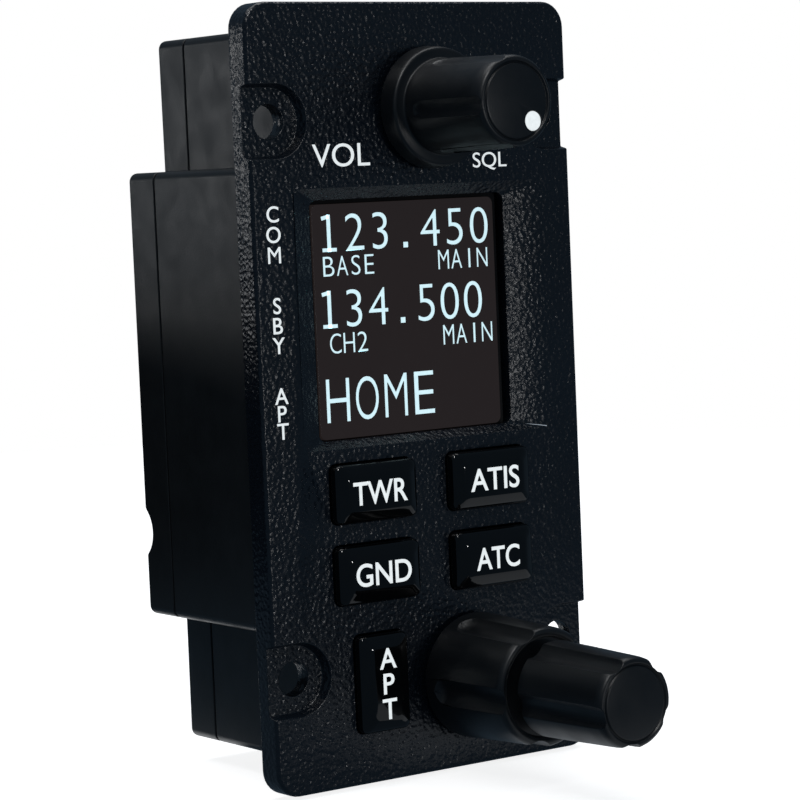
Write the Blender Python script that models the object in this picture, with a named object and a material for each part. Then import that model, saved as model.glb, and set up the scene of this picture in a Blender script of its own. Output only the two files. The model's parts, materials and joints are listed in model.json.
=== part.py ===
"""Panel-mounted VHF radio control head, as an assembly of separate named pieces.

Frame: +X to the right as a pilot sees the faceplate, +Z up, +Y into the instrument panel.
The origin is the centre of the faceplate's back face, which rests on the instrument panel.
"""
import bpy
import bmesh
from math import sin, cos, pi, radians, tau
from mathutils import Vector

MM = 0.001
SMOOTH_LIMIT = radians(35)             # edges that bend more than this stay crisp

# Driving dimensions, all in millimetres.
PLATE_W, PLATE_H, PLATE_T = 45.7, 90.2, 3.5
PLATE_CORNER_R, PLATE_EDGE_R = 3.0, 0.5
FRONT = -PLATE_T                       # y of the faceplate's front face

MOUNT_X, MOUNT_Z, MOUNT_HOLE_R = 19.3, 31.7, 2.0
POCKET_R, POCKET_FLOOR_R, POCKET_DEPTH = 4.25, 3.9, 1.4

CASE_W, WAIST_W = 42.0, 32.0           # wide middle of the case, narrow ends
CASE_MID_H, CASE_H = 53.4, 85.0
CASE_WALL, CASE_R = 1.6, 1.0
SEAM_Y, CASE_BACK_Y = 20.5, 26.8       # seam between case and rear cover, back of the cover
COVER_EDGE_R, COVER_WALL = 0.8, 2.2
REST_GAP = 0.3                         # between pieces that rest on each other
SEAT_DEPTH = 0.3                       # shallow seat in the faceplate's back that locates the case
BEHIND = REST_GAP - SEAT_DEPTH         # y where the pieces that rest in the seat begin

RECESS = (-17.3, 18.1, -5.9, 24.0)     # x and z limits of the display recess at the front
WINDOW = (-14.05, 11.95, -4.9, 22.0)   # and of the window at the bottom of the recess
RECESS_DEPTH, WINDOW_LIP = 1.3, 0.8

KEY_W, KEY_H, KEY_R = 11.4, 6.8, 0.8   # key cap across its long and its short side
KEY_X = 8.3                            # key columns stand this far from the middle
KEY_CLEAR, KEY_TRAVEL = 0.12, 0.6
KEYS = {                               # name: (x, z, turned upright)
    "tower": (-KEY_X, -11.05, False),
    "weather": (KEY_X, -11.05, False),
    "ground": (-KEY_X, -20.45, False),
    "traffic": (KEY_X, -20.45, False),
    "airport": (-KEY_X, -33.3, True),
}

VOLUME_X, VOLUME_Z = 1.7, 32.8
VOLUME_SKIRT_R, VOLUME_BODY_R, VOLUME_TIP_R = 7.1, 5.5, 5.2
VOLUME_SKIRT_H, VOLUME_H = 3.4, 17.3   # heights above the faceplate
TUNING_X, TUNING_Z = 4.9, -34.1
OUTER_BASE_R, OUTER_TIP_R, OUTER_H = 7.45, 6.95, 14.8
INNER_BASE_R, INNER_TIP_R, INNER_H = 5.6, 5.2, 30.2
KNOB_GAP = 0.8                         # from the faceplate to the back of a knob
INNER_KNOB_GAP = 1.0                   # from the outer knob's front to the inner knob
KNOB_TRAVEL = 0.6                      # push of the volume knob and of the inner tuning knob
FLUTES = 5

SCREW_X, SCREW_Z = 17.1, 22.9          # the four long case screws
CORNERS = ((-1, 1), (1, 1), (-1, -1), (1, -1))
BOARD_T = 1.6
FRONT_BOARD_Y, REAR_BOARD_Y = 3.6, 13.2

LENS_EDGE = 0.9                        # the window's flange past its opening
SCREW_R, SCREW_BORE_R = 1.2, 1.25
SCREW_TIP_Y = -1.6
ENCODER_FRONT = BEHIND
BUSH_R, DUAL_BUSH_R = 3.2, 3.9
SHAFT_R, TUBE_R, INNER_SHAFT_R = 2.0, 3.0, 1.5
NUT_ROOM_R, DUAL_NUT_ROOM_R = 5.15, 6.1
NUT_TOP_Y = FRONT - 1.9
BUSH_TOP_Y = FRONT - 2.5
DISC_R = 4.25                          # shallow disc in the tip of each knob
SHELL_W, SHELL_H = 16.9, 8.3
JACK_R = 1.5

CONNECTOR_W, CONNECTOR_H = 30.8, 12.5  # flange of the nine-way rear connector
JACK_X = 12.5


# ---------------------------------------------------------------- outlines and solids

def arc(cx, cz, r, start, stop, steps):
    """Points on an arc in the XZ plane, angles in degrees."""
    span = [start + (stop - start) * i / steps for i in range(steps + 1)]
    return [(cx + r * cos(radians(a)), cz + r * sin(radians(a))) for a in span]


def rounded_rect(x0, x1, z0, z1, r, steps=4):
    """A rectangle with round corners, anticlockwise seen from the front."""
    return (arc(x1 - r, z0 + r, r, -90, 0, steps) + arc(x1 - r, z1 - r, r, 0, 90, steps)
            + arc(x0 + r, z1 - r, r, 90, 180, steps) + arc(x0 + r, z0 + r, r, 180, 270, steps))


def centred_rect(cx, cz, w, h, r, steps=4):
    return rounded_rect(cx - w / 2, cx + w / 2, cz - h / 2, cz + h / 2, r, steps)


def circle(cx, cz, r, count=32):
    return [(cx + r * cos(tau * i / count), cz + r * sin(tau * i / count)) for i in range(count)]


def case_outline(inset):
    """The stepped cross outline of the case, moved inwards by inset."""
    a, b = CASE_W / 2 - inset, WAIST_W / 2 - inset
    m, h = CASE_MID_H / 2 - inset, CASE_H / 2 - inset
    out_r = max(CASE_R - inset, 0.3)
    in_r = CASE_R * 0.6 + inset
    quarter = []                       # the upper right quarter, from the side to the top
    quarter += arc(a - out_r, m - out_r, out_r, 0, 90, 3)
    quarter += arc(b + in_r, m + in_r, in_r, 270, 180, 3)
    quarter += arc(b - out_r, h - out_r, out_r, 0, 90, 3)
    upper = quarter + [(-x, z) for x, z in reversed(quarter)]
    return upper + [(x, -z) for x, z in reversed(upper)]


def mesh_object(name, bm):
    """Finishes a mesh: curved faces are shaded smooth, flat ones stay flat beside a cut."""
    mesh = bpy.data.meshes.new(name)
    bmesh.ops.recalc_face_normals(bm, faces=bm.faces)
    for face in bm.faces:
        bends = [abs(edge.calc_face_angle(0.0)) for edge in face.edges]
        face.smooth = sum(radians(1) < bend < SMOOTH_LIMIT for bend in bends) > 1
    bm.to_mesh(mesh)
    bm.free()
    mesh.set_sharp_from_angle(angle=SMOOTH_LIMIT)
    obj = bpy.data.objects.new(name, mesh)
    bpy.context.scene.collection.objects.link(obj)
    return obj


def loft(name, sections):
    """A solid through outlines of equal length: each section is (y, outline)."""
    bm = bmesh.new()
    rings = [[bm.verts.new((x * MM, y * MM, z * MM)) for x, z in outline]
             for y, outline in sections]
    for near, far in zip(rings, rings[1:]):
        for i in range(len(near)):
            j = (i + 1) % len(near)
            bm.faces.new((near[i], near[j], far[j], far[i]))
    bm.faces.new(rings[0])
    bm.faces.new(rings[-1])
    return mesh_object(name, bm)


def prism(name, outline, y0, y1):
    return loft(name, [(y0, outline), (y1, outline)])


def box(name, x0, x1, y0, y1, z0, z1):
    return prism(name, [(x0, z0), (x1, z0), (x1, z1), (x0, z1)], y0, y1)


def tube(name, outer, inner, y0, y1):
    """A ring between two outlines of equal length."""
    bm = bmesh.new()
    rings = [[bm.verts.new((x * MM, y * MM, z * MM)) for x, z in outline]
             for y, outline in ((y0, outer), (y1, outer), (y1, inner), (y0, inner))]
    for k, ring in enumerate(rings):
        after = rings[(k + 1) % len(rings)]
        for i in range(len(ring)):
            j = (i + 1) % len(ring)
            bm.faces.new((ring[i], ring[j], after[j], after[i]))
    return mesh_object(name, bm)


def turned(name, cx, cz, profile, count=32, flute=None):
    """A solid turned about a Y axis from (y, radius) points. A radius of 0 is a pole.

    flute(angle, y) gives a depth that is taken off the outside at that angle.
    """
    bm = bmesh.new()
    rings = []
    for y, r in profile:
        if r == 0:
            rings.append([bm.verts.new((cx * MM, y * MM, cz * MM))])
            continue
        ring = []
        for i in range(count):
            a = tau * i / count
            depth = flute(a, y, r) if flute else 0.0
            x, z = cx + (r - depth) * cos(a), cz + (r - depth) * sin(a)
            ring.append(bm.verts.new((x * MM, y * MM, z * MM)))
        rings.append(ring)
    closed = profile[0][1] > 0 and profile[-1][1] > 0
    pairs = list(zip(rings, rings[1:])) + ([(rings[-1], rings[0])] if closed else [])
    for near, far in pairs:
        if len(near) == len(far) == 1:
            continue                   # from the outside's pole to the hollow's pole
        for i in range(count):
            j = (i + 1) % count
            corners = [near[i % len(near)], near[j % len(near)], far[j % len(far)], far[i % len(far)]]
            bm.faces.new(list(dict.fromkeys(corners)))
    return mesh_object(name, bm)


def combine(obj, tool, operation):
    modifier = obj.modifiers.new(operation.lower(), "BOOLEAN")
    modifier.operation = operation
    modifier.solver = "EXACT"
    modifier.object = tool
    tool.hide_render = True
    tool.display_type = "WIRE"


def cut(obj, *tools):
    for tool in tools:
        combine(obj, tool, "DIFFERENCE")


def join(obj, *tools):
    for tool in tools:
        combine(obj, tool, "UNION")


def put_origin(obj, x, y, z):
    """Moves the object's origin to a point in millimetres, leaving its shape in place."""
    shift = Vector((x, y, z)) * MM
    for vertex in obj.data.vertices:
        vertex.co -= shift
    obj.location = shift


def rounding(radius, inset, edge, steps=3):
    """(height, inset) pairs of a round edge that ends flat at edge."""
    return [(edge - radius + radius * sin(pi / 2 * i / steps),
             inset + radius * (1 - cos(pi / 2 * i / steps))) for i in range(steps + 1)]


# ---------------------------------------------------------------- materials

def material(name, colour, roughness, metallic=0.0, alpha=1.0):
    mat = bpy.data.materials.get(name) or bpy.data.materials.new(name)
    mat.use_nodes = True
    shader = mat.node_tree.nodes["Principled BSDF"]
    shader.inputs["Base Color"].default_value = (*colour, 1.0)
    shader.inputs["Roughness"].default_value = roughness
    shader.inputs["Metallic"].default_value = metallic
    shader.inputs["Alpha"].default_value = alpha
    return mat


FINISHES = {
    "textured_black": ((0.012, 0.015, 0.020), 0.55, 0.0),
    "case_plastic": ((0.030, 0.033, 0.036), 0.50, 0.0),
    "knob_plastic": ((0.010, 0.011, 0.013), 0.35, 0.0),
    "key_gloss": ((0.006, 0.006, 0.007), 0.08, 0.0),
    "dot_white": ((0.85, 0.86, 0.87), 0.40, 0.0),
    "window_glass": ((0.020, 0.018, 0.018), 0.05, 0.0),
    "display_black": ((0.020, 0.020, 0.022), 0.20, 0.0),
    "rubber_black": ((0.015, 0.015, 0.015), 0.80, 0.0),
    "frame_plastic": ((0.100, 0.100, 0.105), 0.50, 0.0),
    "circuit_board": ((0.010, 0.110, 0.050), 0.45, 0.0),
    "control_body": ((0.120, 0.120, 0.130), 0.45, 0.0),
    "steel": ((0.600, 0.600, 0.620), 0.30, 1.0),
    "black_steel": ((0.040, 0.040, 0.045), 0.40, 1.0),
    "brass": ((0.750, 0.600, 0.280), 0.30, 1.0),
}


def finish(obj, name):
    obj.data.materials.append(material(name, *FINISHES[name]))
    return obj


# ---------------------------------------------------------------- faceplate

def build_faceplate():
    def outline(inset):
        return centred_rect(0, 0, PLATE_W - 2 * inset, PLATE_H - 2 * inset, PLATE_CORNER_R - inset, 5)

    edge = rounding(PLATE_EDGE_R, 0.0, PLATE_T)
    plate = loft("faceplate", [(0.0, outline(0.0))] + [(-h, outline(inset)) for h, inset in edge])
    boss_h, boss_r = 3.0, 1.8
    cut(plate, prism("case_seat", case_outline(-REST_GAP), -SEAT_DEPTH, 1.0))
    for k, (sx, sz) in enumerate(CORNERS):
        join(plate, prism(f"boss_{k}", circle(sx * SCREW_X, sz * SCREW_Z, boss_r, 20), -1.0, boss_h))
        cut(plate, prism(f"boss_bore_{k}", circle(sx * SCREW_X, sz * SCREW_Z, SCREW_BORE_R, 16),
                         SCREW_TIP_Y - 0.2, boss_h + 1.0))

    slope_top = [(FRONT - 1.0, rounded_rect(*RECESS, 0.8)), (FRONT, rounded_rect(*RECESS, 0.8)),
                 (FRONT + RECESS_DEPTH, rounded_rect(*WINDOW, 0.8))]
    lip_y = FRONT + RECESS_DEPTH + WINDOW_LIP
    cut(plate, loft("recess_cut", slope_top))
    cut(plate, prism("window_cut", rounded_rect(*WINDOW, 0.8), FRONT + 0.5, 1.0))
    cut(plate, prism("rebate_cut", grown(WINDOW, LENS_EDGE + 0.15, 0.8), lip_y, 1.0))

    for k, (sx, sz) in enumerate(CORNERS):
        cut(plate, loft(f"pocket_cut_{k}", [(FRONT - 1.0, pocket(sx, sz, POCKET_R)),
                                            (FRONT, pocket(sx, sz, POCKET_R)),
                                            (FRONT + POCKET_DEPTH, pocket(sx, sz, POCKET_FLOOR_R))]))
        cut(plate, prism(f"mount_hole_{k}", circle(sx * MOUNT_X, sz * MOUNT_Z, MOUNT_HOLE_R, 24),
                         FRONT - 1.0, 1.0))
    for name, (x, z, upright) in KEYS.items():
        cut(plate, prism(f"{name}_opening", key_outline(x, z, upright, -KEY_CLEAR), FRONT - 1.0, 1.0))
    cut(plate, prism("volume_hole", circle(VOLUME_X, VOLUME_Z, BUSH_R + 0.15, 24), FRONT - 1.0, 1.0))
    cut(plate, prism("tuning_hole", circle(TUNING_X, TUNING_Z, DUAL_BUSH_R + 0.15, 24), FRONT - 1.0, 1.0))
    return finish(plate, "textured_black")


def grown(rect, by, r):
    x0, x1, z0, z1 = rect
    return rounded_rect(x0 - by, x1 + by, z0 - by, z1 + by, r)


def pocket(sx, sz, r):
    """A half-round pocket round a mounting hole, open at the plate's side edge."""
    reach = PLATE_W / 2 + 2.0
    points = arc(MOUNT_X, MOUNT_Z, r, 270, 90, 12) + [(reach, MOUNT_Z + r), (reach, MOUNT_Z - r)]
    return [(sx * x, sz * z) for x, z in points]


def key_outline(x, z, upright, inset, r=KEY_R, steps=3):
    w, h = (KEY_H, KEY_W) if upright else (KEY_W, KEY_H)
    return centred_rect(x, z, w - 2 * inset, h - 2 * inset, max(r - inset, 0.2), steps)


# ---------------------------------------------------------------- case

def build_front_case():
    outer, inner = case_outline(0.0), case_outline(CASE_WALL)
    return finish(tube("front_case", outer, inner, BEHIND, SEAM_Y), "case_plastic")


def build_rear_cover():
    start = SEAM_Y + REST_GAP
    edge = rounding(COVER_EDGE_R, 0.0, CASE_BACK_Y)
    cover = loft("rear_cover", [(start, case_outline(0.0))] + [(y, case_outline(d)) for y, d in edge])
    cut(cover, prism("cover_hollow", case_outline(COVER_WALL), start - 1.0, CASE_BACK_Y - CASE_WALL))
    lip_out, lip_in = CASE_WALL + 0.15, COVER_WALL
    join(cover, tube("cover_lip", case_outline(lip_out), case_outline(lip_in), start - 1.5, start + 0.3))
    notch_z, notch_r, notch_deep = -16.6, 3.4, 1.9
    cut(cover, lying_cylinder("notch_cut", -CASE_W / 2 - 2.0, -CASE_W / 2 + 3.0,
                              CASE_BACK_Y - notch_deep + notch_r, notch_z, notch_r))
    y0, y1 = CASE_BACK_Y - 4.0, CASE_BACK_Y + 2.0
    cut(cover, prism("connector_cut", centred_rect(0, 0, SHELL_W + 0.6, SHELL_H + 0.6, 2.4), y0, y1))
    for side in (-1, 1):
        cut(cover, prism(f"jack_cut_{side}", circle(side * JACK_X, 0, JACK_R + 0.15, 16), y0, y1))
    for k, (sx, sz) in enumerate(CORNERS):
        cut(cover, prism(f"screw_cut_{k}", circle(sx * SCREW_X, sz * SCREW_Z, SCREW_R + 0.15, 16), y0, y1))
    return finish(cover, "case_plastic")


def lying_cylinder(name, x0, x1, y, z, r, count=28):
    """A cylinder along X."""
    bm = bmesh.new()
    ends = [[bm.verts.new((x * MM, (y + r * cos(tau * i / count)) * MM, (z + r * sin(tau * i / count)) * MM))
             for i in range(count)] for x in (x0, x1)]
    for i in range(count):
        j = (i + 1) % count
        bm.faces.new((ends[0][i], ends[0][j], ends[1][j], ends[1][i]))
    bm.faces.new(ends[0])
    bm.faces.new(ends[1])
    return mesh_object(name, bm)


def build_case_screws():
    """Four long screws that clamp cover, case and faceplate together from behind."""
    head_y = CASE_BACK_Y + REST_GAP
    head_r, head_h = 2.1, 1.5
    for k, (sx, sz) in enumerate(CORNERS):
        profile = [(SCREW_TIP_Y, 0), (SCREW_TIP_Y, SCREW_R), (head_y, SCREW_R), (head_y, head_r),
                   (head_y + head_h - 0.5, head_r), (head_y + head_h, head_r - 0.6), (head_y + head_h, 0)]
        screw = turned(f"case_screw_{k + 1}", sx * SCREW_X, sz * SCREW_Z, profile, 20)
        for turn, (w, h) in enumerate(((2.4, 0.5), (0.5, 2.4))):
            cx, cz = sx * SCREW_X, sz * SCREW_Z
            cut(screw, box(f"drive_{k}_{turn}", cx - w / 2, cx + w / 2, head_y + head_h - 0.8,
                           head_y + head_h + 1.0, cz - h / 2, cz + h / 2))
        finish(screw, "black_steel")


# ---------------------------------------------------------------- display

def build_display():
    """Window, seal, liquid crystal panel and its holder, stacked behind the recess."""
    face_y = FRONT + RECESS_DEPTH + 0.15
    flange_y = FRONT + RECESS_DEPTH + WINDOW_LIP + REST_GAP
    gap = 0.15
    lens = loft("display_window", [
        (face_y, grown(WINDOW, -gap, 0.7)), (flange_y, grown(WINDOW, -gap, 0.7)),
        (flange_y, grown(WINDOW, LENS_EDGE, 0.7)), (-REST_GAP, grown(WINDOW, LENS_EDGE, 0.7))])
    finish(lens, "window_glass")
    seal_y = (0.0, 0.7)
    finish(tube("window_seal", grown(WINDOW, 0.9, 0.8), grown(WINDOW, 0.2, 0.8), *seal_y), "rubber_black")
    panel_y = seal_y[1] + REST_GAP
    finish(prism("display_panel", grown(WINDOW, 0.4, 0.5), panel_y, panel_y + 1.5), "display_black")
    holder = prism("display_holder", grown(WINDOW, 1.0, 0.8), panel_y, FRONT_BOARD_Y - REST_GAP)
    cut(holder, prism("holder_pocket", grown(WINDOW, 0.55, 0.5), panel_y - 1.0, panel_y + 1.5 + REST_GAP))
    finish(holder, "frame_plastic")


# ---------------------------------------------------------------- keys

def build_keys():
    """Each key is a domed cap with a flange behind the plate and a nub over its switch."""
    wall_top, dome = -FRONT + 0.9, ((1.25, 0.12), (1.55, 0.45), (1.75, 1.0), (1.85, 1.9))
    flange = 0.6
    for name, (x, z, upright) in KEYS.items():
        steps = [(0.8, -flange), (BEHIND, -flange), (BEHIND, 0.0), (-wall_top, 0.0)]
        steps += [(FRONT - height, inset) for height, inset in dome]
        key = loft(f"{name}_key", [(y, key_outline(x, z, upright, inset)) for y, inset in steps])
        join(key, prism(f"{name}_nub", circle(x, z, 1.2, 16), 0.5, 1.25))
        put_origin(key, x, 0, z)
        finish(key, "key_gloss")
        build_switch(name, x, z)


def build_switch(name, x, z):
    """A low tactile switch: its square body and round plunger are one piece."""
    back = FRONT_BOARD_Y - REST_GAP
    switch = box(f"{name}_switch", x - 2.6, x + 2.6, back - 0.8, back, z - 2.6, z + 2.6)
    join(switch, prism(f"{name}_plunger", circle(x, z, 1.1, 16), back - 1.3, back - 0.4))
    finish(switch, "control_body")


# ---------------------------------------------------------------- knobs and controls

def fluting(first_deg, depth, width_deg, y_back, floor_r):
    """Round grooves along a knob, ahead of y_back and never deeper than floor_r."""

    def depth_at(angle, y, r):
        pitch = 360.0 / FLUTES
        off = ((angle * 180 / pi - first_deg + pitch / 2) % pitch) - pitch / 2
        if y > y_back or r <= floor_r or abs(off) > width_deg / 2:
            return 0.0
        return min(depth * (0.5 + 0.5 * cos(tau * off / width_deg)), r - floor_r)
    return depth_at


def build_volume_control():
    x, z = VOLUME_X, VOLUME_Z
    base = FRONT - KNOB_GAP
    skirt = FRONT - VOLUME_SKIRT_H
    tip = FRONT - VOLUME_H
    grooves = fluting(112, 0.35, 30, skirt - 0.05, DISC_R + 0.1)
    knob = turned("volume_knob", x, z, [
        (base, NUT_ROOM_R), (base, VOLUME_SKIRT_R - 0.1), (base - 0.3, VOLUME_SKIRT_R),
        (skirt + 0.4, VOLUME_SKIRT_R - 0.15), (skirt, VOLUME_SKIRT_R - 0.5),
        (skirt, VOLUME_BODY_R), (skirt - 0.3, VOLUME_BODY_R - 0.03), (tip + 2.0, VOLUME_TIP_R + 0.05),
        (tip + 0.5, VOLUME_TIP_R - 0.05), (tip + 0.1, VOLUME_TIP_R - 0.4), (tip, VOLUME_TIP_R - 0.75),
        (tip + 0.12, DISC_R), (tip + 0.12, 0), (tip + 1.6, 0), (tip + 1.6, SHAFT_R + 0.05),
        (BUSH_TOP_Y - 1.0, SHAFT_R + 0.05), (BUSH_TOP_Y - 1.0, BUSH_R + 0.4),
        (NUT_TOP_Y - 0.7, BUSH_R + 0.4), (NUT_TOP_Y - 0.7, NUT_ROOM_R)], 60, grooves)
    dot_a, dot_off, dot_r = radians(-45.7), 3.2, 1.1
    dx, dz = x + dot_off * cos(dot_a), z + dot_off * sin(dot_a)
    cut(knob, prism("dot_seat", circle(dx, dz, dot_r + 0.03, 20), tip - 1.0, tip + 0.7))
    screw_hole = radial_pin("volume_screw_hole", x, z, -30, 1.5, VOLUME_SKIRT_R + 1, skirt - 3.0, 1.05)
    cut(knob, screw_hole)
    put_origin(knob, x, 0, z)
    finish(knob, "knob_plastic")
    dot = prism("volume_dot", circle(dx, dz, dot_r, 20), tip + 0.08, tip + 0.6)
    finish(dot, "dot_white")
    grub = radial_pin("volume_grub_screw", x, z, -30, SHAFT_R + 0.1, VOLUME_BODY_R - 0.8, skirt - 3.0, 1.0)
    finish(grub, "black_steel")

    shaft_in = ENCODER_FRONT + 3.0
    finish(prism("volume_shaft", circle(x, z, SHAFT_R, 24), tip + 1.75, shaft_in), "steel")
    finish(prism("volume_plunger", circle(x, z, SHAFT_R + 0.8, 24), shaft_in + 0.1, shaft_in + 1.1), "brass")
    body = box("volume_control", x - 6.0, x + 6.0, ENCODER_FRONT, ENCODER_FRONT + 6.5, z - 6.0, z + 6.0)
    join(body, prism("volume_bush", circle(x, z, BUSH_R, 32), BUSH_TOP_Y, ENCODER_FRONT + 1.0))
    cut(body, prism("volume_bore", circle(x, z, SHAFT_R + 0.06, 24), BUSH_TOP_Y - 1.0, ENCODER_FRONT + 3.5))
    cut(body, prism("volume_chamber", circle(x, z, SHAFT_R + 1.0, 24),
                    shaft_in - 0.1, shaft_in + 1.2 + KNOB_TRAVEL))
    finish(body, "control_body")
    ring_and_nut("volume", x, z, BUSH_R, 4.2)


def build_tuning_control():
    x, z = TUNING_X, TUNING_Z
    base = FRONT - KNOB_GAP
    tip = FRONT - OUTER_H
    grooves = fluting(115, 0.75, 30, base, DUAL_NUT_ROOM_R + 0.2)
    outer = turned("tuning_outer_knob", x, z, [
        (base, DUAL_NUT_ROOM_R), (base, OUTER_BASE_R - 0.35), (base - 0.35, OUTER_BASE_R),
        (base - 5.0, OUTER_BASE_R - 0.18), (tip + 1.0, OUTER_TIP_R), (tip + 0.35, OUTER_TIP_R - 0.12),
        (tip + 0.05, OUTER_TIP_R - 0.45), (tip + 0.75, INNER_BASE_R + 0.1), (tip + 0.75, TUBE_R + 0.05),
        (BUSH_TOP_Y - 0.3, TUBE_R + 0.05), (BUSH_TOP_Y - 0.3, DUAL_BUSH_R + 0.3),
        (NUT_TOP_Y - 0.3, DUAL_BUSH_R + 0.3), (NUT_TOP_Y - 0.3, DUAL_NUT_ROOM_R)], 60, grooves)
    cut(outer, radial_pin("outer_screw_hole", x, z, -60, 2.0, OUTER_BASE_R + 1, base - 6.5, 1.05))
    put_origin(outer, x, 0, z)
    finish(outer, "knob_plastic")
    finish(radial_pin("outer_grub_screw", x, z, -60, TUBE_R + 0.1, OUTER_BASE_R - 1.3, base - 6.5, 1.0),
           "black_steel")

    rear = tip - INNER_KNOB_GAP
    end = FRONT - INNER_H
    grooves = fluting(120, 0.65, 30, rear, DISC_R + 0.1)
    inner = turned("tuning_inner_knob", x, z, [
        (rear, INNER_SHAFT_R + 0.05), (rear, INNER_BASE_R - 0.3), (rear - 0.3, INNER_BASE_R),
        (rear - 5.0, INNER_BASE_R - 0.12), (end + 1.2, INNER_TIP_R), (end + 0.5, INNER_TIP_R - 0.1),
        (end + 0.1, INNER_TIP_R - 0.45), (end, INNER_TIP_R - 0.75), (end + 0.12, DISC_R), (end + 0.12, 0),
        (end + 2.0, 0), (end + 2.0, INNER_SHAFT_R + 0.05)], 60, grooves)
    cut(inner, radial_pin("inner_screw_hole", x, z, -60, 0.8, INNER_BASE_R + 1, rear - 4.0, 0.85))
    put_origin(inner, x, 0, z)
    finish(inner, "knob_plastic")
    finish(radial_pin("inner_grub_screw", x, z, -60, INNER_SHAFT_R + 0.1, INNER_BASE_R - 1.1,
                      rear - 4.0, 0.8), "black_steel")

    tube_in, rod_in = ENCODER_FRONT + 2.5, ENCODER_FRONT + 4.5
    sleeve = tube("tuning_outer_shaft", circle(x, z, TUBE_R), circle(x, z, INNER_SHAFT_R + 0.06),
                  tip + 1.0, tube_in)
    finish(sleeve, "steel")
    finish(prism("tuning_inner_shaft", circle(x, z, INNER_SHAFT_R, 24), end + 2.15, rod_in), "steel")
    finish(prism("tuning_plunger", circle(x, z, INNER_SHAFT_R + 1.0, 24), rod_in + 0.1, rod_in + 1.1), "brass")
    half = 5.7
    body = box("tuning_control", x - half, x + half, ENCODER_FRONT, ENCODER_FRONT + 9.0, z - 6.0, z + 6.0)
    join(body, prism("tuning_bush", circle(x, z, DUAL_BUSH_R, 32), BUSH_TOP_Y, ENCODER_FRONT + 1.0))
    cut(body, prism("tuning_bore", circle(x, z, TUBE_R + 0.06), BUSH_TOP_Y - 1.0, tube_in + 0.2))
    cut(body, prism("tuning_rod_bore", circle(x, z, INNER_SHAFT_R + 0.06, 24), tube_in, rod_in + 0.2))
    cut(body, prism("tuning_chamber", circle(x, z, INNER_SHAFT_R + 1.2, 24),
                    rod_in - 0.1, rod_in + 1.2 + KNOB_TRAVEL))
    finish(body, "control_body")
    ring_and_nut("tuning", x, z, DUAL_BUSH_R, 5.0)


def ring_and_nut(name, x, z, bush_r, nut_apothem):
    """The washer and hexagon nut that hold a control to the faceplate."""
    washer_y = FRONT - 0.15
    washer = tube(f"{name}_washer", circle(x, z, nut_apothem + 0.2), circle(x, z, bush_r + 0.1),
                  washer_y - 0.4, washer_y)
    finish(washer, "steel")
    corner_r = nut_apothem / cos(pi / 6)
    nut = prism(f"{name}_nut", circle(x, z, corner_r, 6), NUT_TOP_Y, washer_y - 0.55)
    cut(nut, prism(f"{name}_nut_bore", circle(x, z, bush_r + 0.06, 32), NUT_TOP_Y - 1.0, FRONT))
    finish(nut, "steel")


def radial_pin(name, cx, cz, angle, r0, r1, y, r, count=16):
    """A small cylinder that points away from the axis at an angle."""
    a = radians(angle)
    out, side = Vector((cos(a), 0, sin(a))), Vector((-sin(a), 0, cos(a)))
    centre = Vector((cx, y, cz))
    bm = bmesh.new()
    ends = []
    for reach in (r0, r1):
        ring = []
        for i in range(count):
            t = tau * i / count
            point = centre + out * reach + side * (r * cos(t)) + Vector((0, r * sin(t), 0))
            ring.append(bm.verts.new(point * MM))
        ends.append(ring)
    for i in range(count):
        j = (i + 1) % count
        bm.faces.new((ends[0][i], ends[0][j], ends[1][j], ends[1][i]))
    bm.faces.new(ends[0])
    bm.faces.new(ends[1])
    return mesh_object(name, bm)


# ---------------------------------------------------------------- boards and connector

def board(name, y, inset):
    """A circuit board that follows the inside of the case, drilled for the long screws."""
    piece = prism(name, case_outline(CASE_WALL + inset), y, y + BOARD_T)
    for k, (sx, sz) in enumerate(CORNERS):
        cut(piece, prism(f"{name}_hole_{k}", circle(sx * SCREW_X, sz * SCREW_Z, SCREW_R + 0.2, 16),
                         y - 1.0, y + BOARD_T + 1.0))
    return finish(piece, "circuit_board")


def build_boards():
    front = board("front_board", FRONT_BOARD_Y, 0.3)
    for k, (x, z, half) in enumerate(((VOLUME_X, VOLUME_Z, 6.0), (TUNING_X, TUNING_Z, 5.7))):
        cut(front, box(f"control_slot_{k}", x - half - 0.3, x + half + 0.3, FRONT_BOARD_Y - 1.0,
                       FRONT_BOARD_Y + BOARD_T + 1.0, z - 6.3, z + 6.3))
    board("rear_board", REAR_BOARD_Y, 0.3)
    y0, y1 = FRONT_BOARD_Y + BOARD_T + REST_GAP, REAR_BOARD_Y - REST_GAP
    finish(box("board_connector", -14.0, 6.0, y0, y1, 17.0, 22.0), "frame_plastic")
    for k, (sx, sz) in enumerate(CORNERS):
        ring = circle(sx * SCREW_X, sz * SCREW_Z, 1.8, 20)
        hole = circle(sx * SCREW_X, sz * SCREW_Z, SCREW_R + 0.1, 20)
        finish(tube(f"board_spacer_{k + 1}", ring, hole, y0, y1), "brass")


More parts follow.
